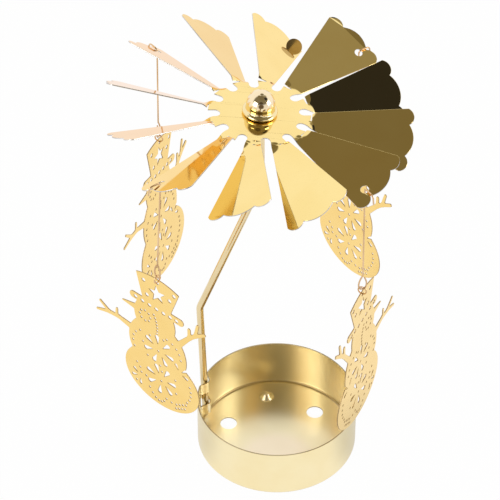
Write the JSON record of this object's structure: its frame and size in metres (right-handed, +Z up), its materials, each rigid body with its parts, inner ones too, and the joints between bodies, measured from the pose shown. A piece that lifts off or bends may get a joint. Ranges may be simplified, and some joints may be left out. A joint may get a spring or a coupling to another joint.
{
  "type": "candle carousel",
  "caption": "Candle carousel: a shallow round tealight cup, a bent wire stand with a needle point, and a bladed sheet fan that turns in warm air and carries hanging pierced snowmen.",
  "frame": {"origin": "centre of the cup's flat underside, on the table", "axes": "+Z up along the cup's axis; +X to the right and +Y away from the viewer in the picture"},
  "size_m": [0.1151, 0.1162, 0.1765],
  "materials": {
    "tin_gold": "satin gold-coated tinplate, spun and drawn",
    "rod_gold": "glossy pale gold-coated steel wire",
    "sheet_gold": "mirror-bright gold-coated steel sheet",
    "knob_gold": "polished turned brass",
    "copper_wire": "copper-toned drawn wire",
    "figure_gold": "bright gold-coated etched sheet"
  },
  "bodies": {
    "cup": {"cup": "tin_gold"},
    "stand": {"stand_rod": "rod_gold"},
    "rotor": {"fan": "sheet_gold", "knob": "knob_gold"},
    "hanger_1": {"hanger_1": "copper_wire"},
    "hanger_2": {"hanger_2": "copper_wire"},
    "hanger_3": {"hanger_3": "copper_wire"},
    "hanger_4": {"hanger_4": "copper_wire"},
    "ring_1": {"jump_ring_1": "copper_wire"},
    "ring_2": {"jump_ring_2": "copper_wire"},
    "ring_3": {"jump_ring_3": "copper_wire"},
    "ring_4": {"jump_ring_4": "copper_wire"},
    "figure_1": {"snowman_1": "figure_gold"},
    "figure_2": {"snowman_2": "figure_gold"},
    "figure_3": {"snowman_3": "figure_gold"},
    "figure_4": {"snowman_4": "figure_gold"}
  },
  "joints": [
    {"name": "stand_lift", "type": "slide", "parent": "cup", "child": "stand", "axis": [-0.0296, 0.0106, 0.9995], "range_m": [0, 0.03]},
    {"name": "rotor_spin", "type": "hinge", "parent": "stand", "child": "rotor", "pos_m": [-0.00659, 0.00237, 0.166], "axis": [0, 0, 1], "continuous": true},
    {"name": "hanger_1_swing", "type": "hinge", "parent": "rotor", "child": "hanger_1", "pos_m": [0.03115, 0.03897, 0.16131], "axis": [0.535, -0.8445, -0.0227], "range_deg": [-6, 12]},
    {"name": "hanger_2_swing", "type": "hinge", "parent": "rotor", "child": "hanger_2", "pos_m": [-0.04561, 0.0379, 0.1632], "axis": [0.7805, 0.6251, -0.007], "range_deg": [-6, 12]},
    {"name": "hanger_3_swing", "type": "hinge", "parent": "rotor", "child": "hanger_3", "pos_m": [-0.04308, -0.03603, 0.1597], "axis": [-0.6002, 0.7988, 0.0401], "range_deg": [-6, 12]},
    {"name": "hanger_4_swing", "type": "hinge", "parent": "rotor", "child": "hanger_4", "pos_m": [0.03066, -0.03359, 0.15439], "axis": [-0.8117, -0.5839, -0.0122], "range_deg": [-6, 12]},
    {"name": "ring_1_swing", "type": "hinge", "parent": "hanger_1", "child": "ring_1", "pos_m": [0.02915, 0.03888, 0.11734], "axis": [0.6293, -0.7771, 0], "range_deg": [-6, 12]},
    {"name": "ring_2_swing", "type": "hinge", "parent": "hanger_2", "child": "ring_2", "pos_m": [-0.04455, 0.03614, 0.12314], "axis": [0.4289, 0.9033, 0], "range_deg": [-6, 12]},
    {"name": "ring_3_swing", "type": "hinge", "parent": "hanger_3", "child": "ring_3", "pos_m": [-0.04336, -0.03404, 0.11573], "axis": [-0.7771, 0.6293, 0], "range_deg": [-6, 12]},
    {"name": "ring_4_swing", "type": "hinge", "parent": "hanger_4", "child": "ring_4", "pos_m": [0.0298, -0.03143, 0.10784], "axis": [-0.4462, -0.8949, 0], "range_deg": [-6, 12]},
    {"name": "figure_1_swing", "type": "hinge", "parent": "ring_1", "child": "figure_1", "pos_m": [0.02915, 0.03888, 0.11499], "axis": [0.7771, 0.6293, 0], "range_deg": [-15, 15]},
    {"name": "figure_2_swing", "type": "hinge", "parent": "ring_2", "child": "figure_2", "pos_m": [-0.04446, 0.03609, 0.12079], "axis": [-0.9025, 0.4286, -0.0419], "range_deg": [-15, 15]},
    {"name": "figure_3_swing", "type": "hinge", "parent": "ring_3", "child": "figure_3", "pos_m": [-0.04336, -0.03404, 0.11338], "axis": [0.6293, 0.7771, 0], "range_deg": [-15, 15]},
    {"name": "figure_4_swing", "type": "hinge", "parent": "ring_4", "child": "figure_4", "pos_m": [0.0298, -0.03143, 0.10549], "axis": [0.8949, -0.4462, 0], "range_deg": [-15, 15]}
  ]
}
